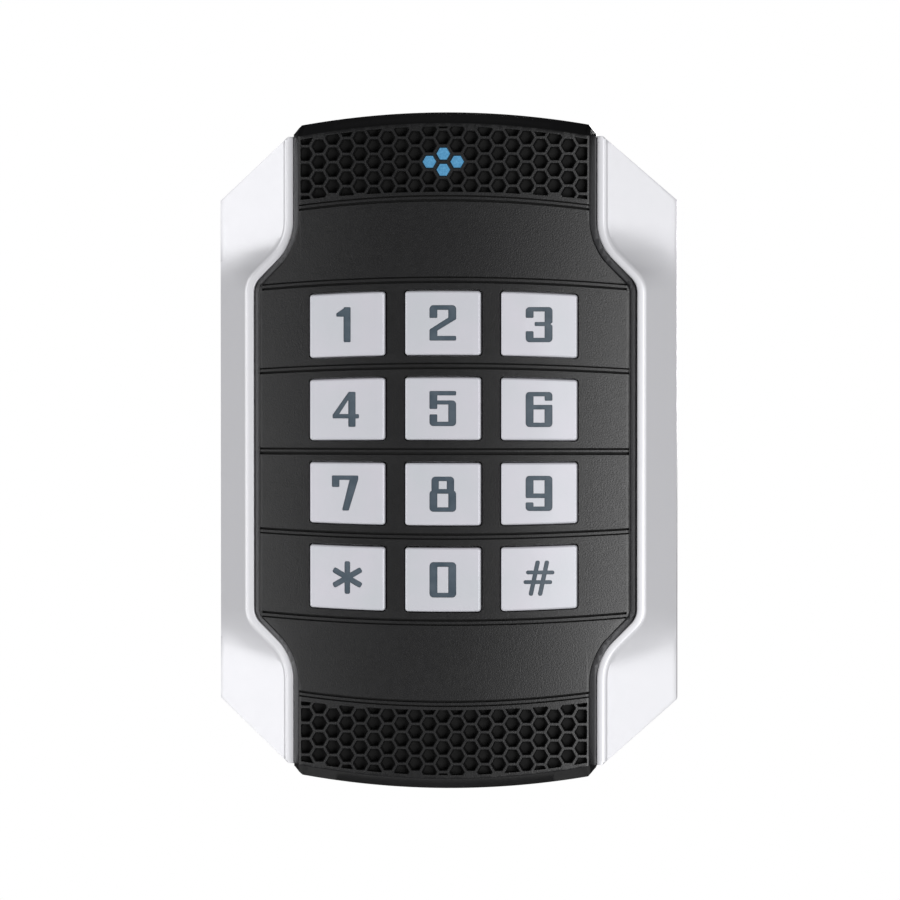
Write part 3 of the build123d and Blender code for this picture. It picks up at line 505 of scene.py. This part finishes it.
def vary(material, socket, scale, low, high, detail=3.0):
    """Lets a colour or a value wander gently over the surface."""
    tree = material.node_tree
    noise = noise_on(material, scale, detail)
    if isinstance(low, tuple):
        ramp = tree.nodes.new("ShaderNodeValToRGB")
        ramp.color_ramp.elements[0].position = 0.3
        ramp.color_ramp.elements[1].position = 0.7
        ramp.color_ramp.elements[0].color = (*low, 1.0)
        ramp.color_ramp.elements[1].color = (*high, 1.0)
        tree.links.new(noise.outputs["Fac"], ramp.inputs["Fac"])
        tree.links.new(ramp.outputs["Color"], tree.nodes["Principled BSDF"].inputs[socket])
        return
    spread = tree.nodes.new("ShaderNodeMapRange")
    spread.inputs["To Min"].default_value = low
    spread.inputs["To Max"].default_value = high
    tree.links.new(noise.outputs["Fac"], spread.inputs["Value"])
    tree.links.new(spread.outputs["Result"], tree.nodes["Principled BSDF"].inputs[socket])


def dress(piece, material):
    """Gives a piece, new or carried over, one finish all over."""
    piece.data.materials.clear()
    piece.data.materials.append(material)


panel_finish = new_finish("textured_black_plastic", (0.006, 0.006, 0.0065), 0.33)
vary(panel_finish, "Base Color", 60, (0.005, 0.005, 0.0055), (0.007, 0.007, 0.0075))
vary(panel_finish, "Roughness", 900, 0.29, 0.37)
panel_finish.node_tree.nodes["Principled BSDF"].inputs["Specular IOR Level"].default_value = 0.34
add_grain(panel_finish, 3600, 0.5)
dress(panel, panel_finish)
# Painted shade: the walls and floors of the grooves and honeycomb pockets get a rougher, less reflective
# black than the face, which darkens them like the shade that falls in them.
recess_painted_shade = new_finish("painted_shade_in_recesses", (0.006, 0.006, 0.006), 0.7)
vary(recess_painted_shade, "Roughness", 700, 0.6, 0.8)
recess_painted_shade.node_tree.nodes["Principled BSDF"].inputs["Specular IOR Level"].default_value = 0.25
panel.data.materials.append(recess_painted_shade)
work_on(panel)


def below_face(m):
    """How deep a place lies below the curved face."""
    return FACE_TOP - m.x * m.x / (2 * CROSS_R) + m.y


def in_pocket(m):
    """Whether a face's middle lies on the wall or the floor of a honeycomb pocket."""
    return abs(m.z) > 48 and abs(m.x) < BAND_HALF + 0.02 and from_end(m) > 2.6 and 0.5 < below_face(m) < 3.5


def in_groove(m, f):
    """Whether a face is the wall or the floor of a groove."""
    return 0.2 < below_face(m) < GROOVE_DEEP + 0.05 and abs(f.normal.x) < 0.2


# The grooves and pockets take the second slot, the black with painted shade.
pick("FACE", lambda m, f: in_pocket(m) or in_groove(m, f))
panel.active_material_index = 1
bpy.ops.object.material_slot_assign()
bpy.ops.object.mode_set(mode="OBJECT")
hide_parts("front_panel")
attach(panel, "housing")

# ---- Wings -------------------------------------------------------------------------------------------
# The two silver wings are zinc castings, satin painted. A raised lip follows the panel's side, and from
# its foot the face runs straight down to the outer edge, gently at the ends and steeply at the waist.
WING_OUTER, TIP_X, TIP_Z, CORNER_Z = 46.7, 31.9, 63.6, 50.9
FOOT_TOP, EDGE_TOP, WING_LOW, EDGE_ROUND = 17.12, 9.0, 2.4, 0.22
STATIONS, FACE_COLUMNS = 220, 16  # divisions along a wing and across its face
LIP_PROFILE = (
    (0.10, 2.4), (0.10, 17.50), (0.14, 17.66), (0.26, 17.77), (0.40, 17.80), (0.55, 17.80), (1.30, 17.80),
    (1.45, 17.78), (1.70, 17.68), (1.95, 17.50), (2.15, 17.28), (2.25, 17.12),
)


def side_of_panel(z, grow):
    """Half the panel's width at height z, grown by a little."""
    z = abs(z)
    shift = grow * (sqrt(2) - 1)
    eighth = tan(pi / 8)
    hollow, rounded = HOLLOW_R - grow, ROUND_R + grow
    start, waist_end = KNEE_IN + shift + hollow * eighth, KNEE_OUT + shift - rounded * eighth
    if z >= start:
        return END_HALF + grow
    if z >= KNEE_IN + shift - hollow * eighth / sqrt(2):
        return END_HALF + grow + hollow - sqrt(hollow**2 - (start - z) ** 2)
    if z >= KNEE_OUT + shift + rounded * eighth / sqrt(2):
        return END_HALF + grow + KNEE_IN + shift - z
    if z >= waist_end:
        return WAIST_HALF + grow - rounded + sqrt(rounded**2 - (z - waist_end) ** 2)
    return WAIST_HALF + grow


def wing_outline(z):
    """The outer side of a wing at height z."""
    slant = (WING_OUTER - TIP_X) / (TIP_Z - CORNER_Z)
    return WING_OUTER - max(abs(z) - CORNER_Z, 0.0) * slant


def wing_section(z):
    """The points of a wing's section at height z, from the panel's side round to the wall's side."""
    outer = wing_outline(z)
    points = [(min(side_of_panel(z, grow), outer), height) for grow, height in LIP_PROFILE]
    foot = points[-1][0]
    slope = (FOOT_TOP - EDGE_TOP) / (WING_OUTER - foot)
    for n in range(1, FACE_COLUMNS + 1):
        x = foot + (outer - foot) * n / FACE_COLUMNS
        points.append((x, FOOT_TOP - (x - foot) * slope))
    edge = points[-1][1]
    points += [(outer, edge - 0.5), (outer, WING_LOW), points[0]]
    return points


for side, name in ((-1, "wing_left"), (1, "wing_right")):
    columns = len(wing_section(0)) - 1
    bpy.ops.mesh.primitive_grid_add(x_subdivisions=columns, y_subdivisions=STATIONS, size=1)
    wing = bpy.context.object
    wing.name = name + "_casting"
    sections = [wing_section(TIP_Z * (2 * n / STATIONS - 1)) for n in range(STATIONS + 1)]
    for point in wing.data.vertices:
        column, station = round((point.co.x + 0.5) * columns), round((point.co.y + 0.5) * STATIONS)
        x, height = sections[station][column]
        point.co = Vector((side * x, -height, TIP_Z * (2 * station / STATIONS - 1))) * MM
    work_on(wing)
    bpy.ops.mesh.remove_doubles(threshold=0.00001)
    for end in (1, -1):
        pick("EDGE", lambda m, e: e.is_boundary and abs(m.z - end * TIP_Z) < 0.01)
        bpy.ops.mesh.edge_face_add()
    bpy.ops.mesh.select_all(action="SELECT")
    bpy.ops.mesh.normals_make_consistent(inside=False)
    stand_alone(wing)
    apply_modifier(
        wing, "BEVEL", limit_method="ANGLE", angle_limit=radians(50), width=EDGE_ROUND * MM, segments=2
    )
    bpy.ops.object.shade_smooth_by_angle(angle=radians(24))
    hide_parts(name)
    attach(wing, "housing")
    if side < 0:
        wing_finish = new_finish("satin_silver_paint", (0.74, 0.74, 0.77), 0.36, 0.15)
        vary(wing_finish, "Roughness", 700, 0.32, 0.42)
        add_grain(wing_finish, 6000, 0.12, 0.00002)
    dress(wing, wing_finish)

# ---- Keys --------------------------------------------------------------------------------------------
# Each key is a moulded cap, painted pale silver, with its numeral engraved. The engraving is filled with
# a smoky clear inlay that the lamps on the board light from behind. The caps press in through the panel.


def softened(node_name, width, segments=2):
    """A copy of a carried-over piece whose sharp edges are slightly rounded."""
    stand_alone(nodes[node_name])
    bpy.ops.object.duplicate()
    piece = bpy.context.object
    piece.name = node_name + "_finished"
    work_on(piece)
    bpy.ops.mesh.remove_doubles(threshold=0.000001)
    bpy.ops.mesh.dissolve_limited(angle_limit=radians(0.5))
    bpy.ops.object.mode_set(mode="OBJECT")
    apply_modifier(
        piece, "BEVEL", limit_method="ANGLE", angle_limit=radians(40), width=width * MM, segments=segments
    )
    bpy.ops.object.shade_smooth_by_angle(angle=radians(30))
    apply_modifier(piece, "WEIGHTED_NORMAL", keep_sharp=True, weight=100)
    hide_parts(node_name)
    return piece


key_finish = new_finish("pale_silver_key_paint", (0.55, 0.55, 0.59), 0.36, 0.1)
vary(key_finish, "Base Color", 90, (0.53, 0.545, 0.58), (0.57, 0.56, 0.61))
add_grain(key_finish, 5000, 0.10, 0.00002)
inlay_finish = new_finish("smoky_inlay", (0.07, 0.095, 0.12), 0.22)
vary(inlay_finish, "Base Color", 400, (0.055, 0.078, 0.10), (0.085, 0.11, 0.135))
for legend in ("1", "2", "3", "4", "5", "6", "7", "8", "9", "star", "0", "hash"):
    cap = softened(f"key_{legend}_cap", 0.09)
    dress(cap, key_finish)
    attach(cap, f"key_{legend}")
    dress(nodes[f"key_{legend}_inlay"], inlay_finish)

# ---- Status light ------------------------------------------------------------------------------------
# A blue light guide, clipped behind the panel, carries the light of four lamps to the four open cells.
lens_finish = new_finish("blue_light_guide", (0.05, 0.20, 0.36), 0.25)
lens_shader = lens_finish.node_tree.nodes["Principled BSDF"]
lens_shader.inputs["Emission Color"].default_value = (0.10, 0.36, 0.62, 1.0)
lens_shader.inputs["Emission Strength"].default_value = 0.22
vary(lens_finish, "Base Color", 2500, (0.04, 0.16, 0.30), (0.08, 0.26, 0.44))
vary(lens_finish, "Emission Color", 1400, (0.05, 0.24, 0.46), (0.20, 0.52, 0.80))
dress(nodes["status_lens"], lens_finish)

# ---- Rear case ---------------------------------------------------------------------------------------
# The tray behind everything is moulded in black plastic with a coarser texture than the panel. Its rim
# shows as a thin dark line between the wings and the wall.
case = softened("rear_case", 0.15)
case_finish = new_finish("coarse_black_plastic", (0.014, 0.014, 0.015), 0.6)
vary(case_finish, "Base Color", 150, (0.011, 0.011, 0.012), (0.018, 0.018, 0.019))
vary(case_finish, "Roughness", 1200, 0.52, 0.68)
add_grain(case_finish, 2600, 0.6, 0.00008)
dress(case, case_finish)
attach(case, "housing")

# ---- Wall plate --------------------------------------------------------------------------------------
# The plate is stamped from zinc-plated sheet steel, with its edges slightly rounded by the die. The
# plating has a faint spangle and fine rolling lines along its height.
plate = softened("wall_plate", 0.12)
plate_finish = new_finish("zinc_plated_sheet", (0.62, 0.63, 0.65), 0.34, 1.0)
tree = plate_finish.node_tree
place = tree.nodes.new("ShaderNodeTexCoord")
spangle = tree.nodes.new("ShaderNodeTexVoronoi")
spangle.inputs["Scale"].default_value = 260
tone = tree.nodes.new("ShaderNodeValToRGB")
tone.color_ramp.elements[0].color = (0.54, 0.56, 0.58, 1.0)
tone.color_ramp.elements[1].color = (0.70, 0.70, 0.71, 1.0)
stretch = tree.nodes.new("ShaderNodeMapping")
stretch.inputs["Scale"].default_value = (3000, 3000, 40)
lines = tree.nodes.new("ShaderNodeTexNoise")
lines.inputs["Scale"].default_value = 1.0
sheen = tree.nodes.new("ShaderNodeMapRange")
sheen.inputs["To Min"].default_value = 0.26
sheen.inputs["To Max"].default_value = 0.46
tree.links.new(place.outputs["Object"], spangle.inputs["Vector"])
tree.links.new(spangle.outputs["Color"], tone.inputs["Fac"])
tree.links.new(tone.outputs["Color"], tree.nodes["Principled BSDF"].inputs["Base Color"])
tree.links.new(place.outputs["Object"], stretch.inputs["Vector"])
tree.links.new(stretch.outputs["Vector"], lines.inputs["Vector"])
tree.links.new(lines.outputs["Fac"], sheen.inputs["Value"])
tree.links.new(sheen.outputs["Result"], tree.nodes["Principled BSDF"].inputs["Roughness"])
dress(plate, plate_finish)
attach(plate, "housing")

# ---- Screws ------------------------------------------------------------------------------------------
# The screws are zinc-plated steel. The security screw sits in the panel's lower wall, the others are
# driven in from behind, into the panel's pillars and the wings.
screw_finish = new_finish("plated_screw_steel", (0.60, 0.60, 0.60), 0.3, 1.0)
vary(screw_finish, "Base Color", 700, (0.52, 0.53, 0.55), (0.66, 0.66, 0.65))
vary(screw_finish, "Roughness", 1800, 0.24, 0.42)
add_grain(screw_finish, 2400, 0.25)
for group in ("security_screw", "case_screws", "wing_screws"):
    screws = softened(group, 0.08)
    dress(screws, screw_finish)
    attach(screws, "housing")
dress(nodes["board_screws"], screw_finish)

# ---- Rubber: grommet and seals -----------------------------------------------------------------------
# The grommet lines the cable's hole. A ring seals the tray against the panel and a frame seals the block
# of setting switches. All are black rubber, slightly dusty.
rubber_finish = new_finish("black_rubber", (0.014, 0.014, 0.014), 0.75)
vary(rubber_finish, "Base Color", 320, (0.010, 0.010, 0.010), (0.026, 0.026, 0.025))
vary(rubber_finish, "Roughness", 900, 0.65, 0.88)
add_grain(rubber_finish, 1800, 0.3)
grommet = softened("cable_grommet", 0.3, segments=3)
dress(grommet, rubber_finish)
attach(grommet, "housing")
for seal in ("case_seal", "dip_seal"):
    dress(nodes[seal], rubber_finish)

# ---- Setting switches --------------------------------------------------------------------------------
# Eight small white sliders move in a red block, which is soldered to the back of the board and reached
# through the plate's window.
switch_finish = new_finish("red_switch_resin", (0.42, 0.035, 0.03), 0.42)
vary(switch_finish, "Base Color", 380, (0.36, 0.028, 0.024), (0.48, 0.045, 0.035))
add_grain(switch_finish, 2600, 0.25)
switch_block = softened("dip_body", 0.1)
dress(switch_block, switch_finish)
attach(switch_block, "housing")
slider_finish = new_finish("white_slider_nylon", (0.78, 0.77, 0.73), 0.4)
vary(slider_finish, "Base Color", 1500, (0.70, 0.69, 0.65), (0.82, 0.81, 0.78))
add_grain(slider_finish, 4000, 0.15)
for n in range(1, 9):
    slider = softened(f"dip_slider_{n}", 0.12)
    dress(slider, slider_finish)
    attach(slider, f"dip_slider_{n}")

# ---- Tamper switch -----------------------------------------------------------------------------------
# A sprung plunger rests on the wall plate. It runs in a small housing on the board and comes out when the
# reader is pulled off the wall.
plunger = softened("tamper_plunger", 0.2)
dress(plunger, slider_finish)
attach(plunger, "tamper_plunger")
spring_finish = new_finish("spring_wire", (0.55, 0.55, 0.56), 0.25, 1.0)
vary(spring_finish, "Roughness", 3000, 0.18, 0.4)
add_grain(spring_finish, 5000, 0.2, 0.00001)
dress(nodes["tamper_spring"], spring_finish)

# ---- Circuit board and what is soldered to it --------------------------------------------------------
# The board is glass-fibre laminate under green lacquer, with faint tracks below it. It carries the chips,
# the sounder, the header, the capacitors, the lamps and the reader's flat copper coil.
board_finish = new_finish("green_laminate", (0.01, 0.11, 0.05), 0.35)
tree = board_finish.node_tree
place = tree.nodes.new("ShaderNodeTexCoord")
upright = tree.nodes.new("ShaderNodeMapping")
upright.inputs["Rotation"].default_value = (radians(90), 0, 0)
tracks = tree.nodes.new("ShaderNodeTexBrick")
tracks.inputs["Scale"].default_value = 420
tracks.inputs["Mortar Size"].default_value = 0.04
tracks.inputs["Color1"].default_value = (0.008, 0.10, 0.045, 1.0)
tracks.inputs["Color2"].default_value = (0.010, 0.13, 0.058, 1.0)
tracks.inputs["Mortar"].default_value = (0.03, 0.24, 0.10, 1.0)
tree.links.new(place.outputs["Object"], upright.inputs["Vector"])
tree.links.new(upright.outputs["Vector"], tracks.inputs["Vector"])
tree.links.new(tracks.outputs["Color"], tree.nodes["Principled BSDF"].inputs["Base Color"])
add_grain(board_finish, 900, 0.1)
dress(nodes["main_board"], board_finish)
for slot, colour, darker, roughness, metallic in (
    ("mat_silicone", (0.62, 0.63, 0.62), (0.50, 0.52, 0.51), 0.6, 0.0),
    ("coil_copper", (0.90, 0.50, 0.30), (0.70, 0.34, 0.18), 0.35, 1.0),
    ("chip_resin", (0.022, 0.022, 0.024), (0.012, 0.012, 0.013), 0.55, 0.0),
    ("small_ceramic", (0.56, 0.46, 0.34), (0.36, 0.28, 0.20), 0.5, 0.0),
    ("lamp_resin", (0.90, 0.84, 0.50), (0.76, 0.68, 0.36), 0.3, 0.0),
    ("header_plastic", (0.80, 0.77, 0.66), (0.70, 0.66, 0.55), 0.45, 0.0),
    ("can_aluminium", (0.80, 0.80, 0.82), (0.62, 0.62, 0.66), 0.3, 1.0),
):
    finish = new_finish(slot + "_finish", colour, roughness, metallic)
    vary(finish, "Base Color", 700, darker, colour)
    vary(finish, "Roughness", 1500, roughness - 0.08, roughness + 0.1)
    add_grain(finish, 3200, 0.2)
    for part in frame["record"]["subparts"]:
        if part["material_slot"] == slot:
            dress(nodes[part["node"]], finish)
